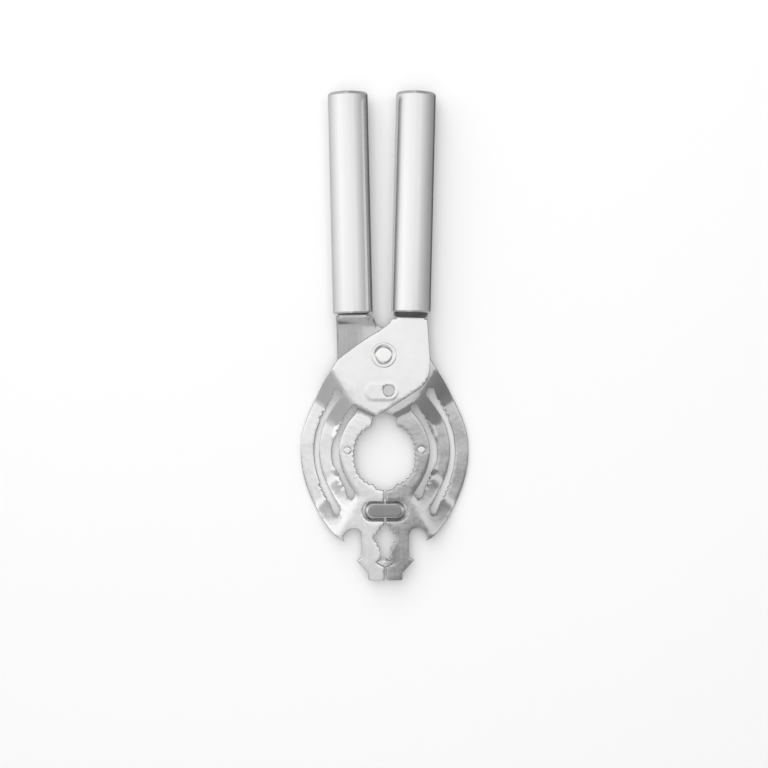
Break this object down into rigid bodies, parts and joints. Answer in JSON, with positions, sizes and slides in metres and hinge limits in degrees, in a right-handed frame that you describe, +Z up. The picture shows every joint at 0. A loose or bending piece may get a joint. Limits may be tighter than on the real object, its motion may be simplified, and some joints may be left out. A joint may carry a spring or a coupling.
{
  "type": "jar and bottle opener",
  "caption": "Pliers-type opener with tubular steel handles and stepped, toothed jaw plates crossing at a rivet, for lids and caps of several sizes.",
  "frame": {"origin": "middle of the closed opener's footprint, on the surface that it lies on", "axes": "+Y towards the handle ends, +Z up out of the front plate, +X to the right handle's side"},
  "size_m": [0.0726, 0.21, 0.017],
  "materials": {
    "plate_steel": "polished stainless steel sheet",
    "handle_steel": "satin, fine brushing along the tube",
    "rivet_steel": "polished stainless steel",
    "dark_moulding": "matte moulded plastic"
  },
  "bodies": {
    "front_half": {"left_jaw_plate": "plate_steel", "right_handle_tube": "handle_steel", "right_end_cap": "handle_steel", "right_handle_core": "dark_moulding", "right_tang_pin": "rivet_steel", "pivot_rivet": "rivet_steel", "pivot_front_washer": "plate_steel", "left_jaw_stud": "rivet_steel", "tip_guide_plate": "plate_steel", "tip_locator": "plate_steel"},
    "rear_half": {"right_jaw_plate": "plate_steel", "left_handle_tube": "handle_steel", "left_end_cap": "handle_steel", "left_handle_core": "dark_moulding", "left_tang_pin": "rivet_steel", "pivot_rear_washer": "plate_steel", "stop_stud": "rivet_steel", "right_jaw_stud": "rivet_steel"}
  },
  "joints": [
    {"name": "handle_pivot", "type": "hinge", "parent": "front_half", "child": "rear_half", "pos_m": [0, -0.008, 0.0076], "axis": [0, 0, 1], "range_deg": [0, 23]}
  ]
}
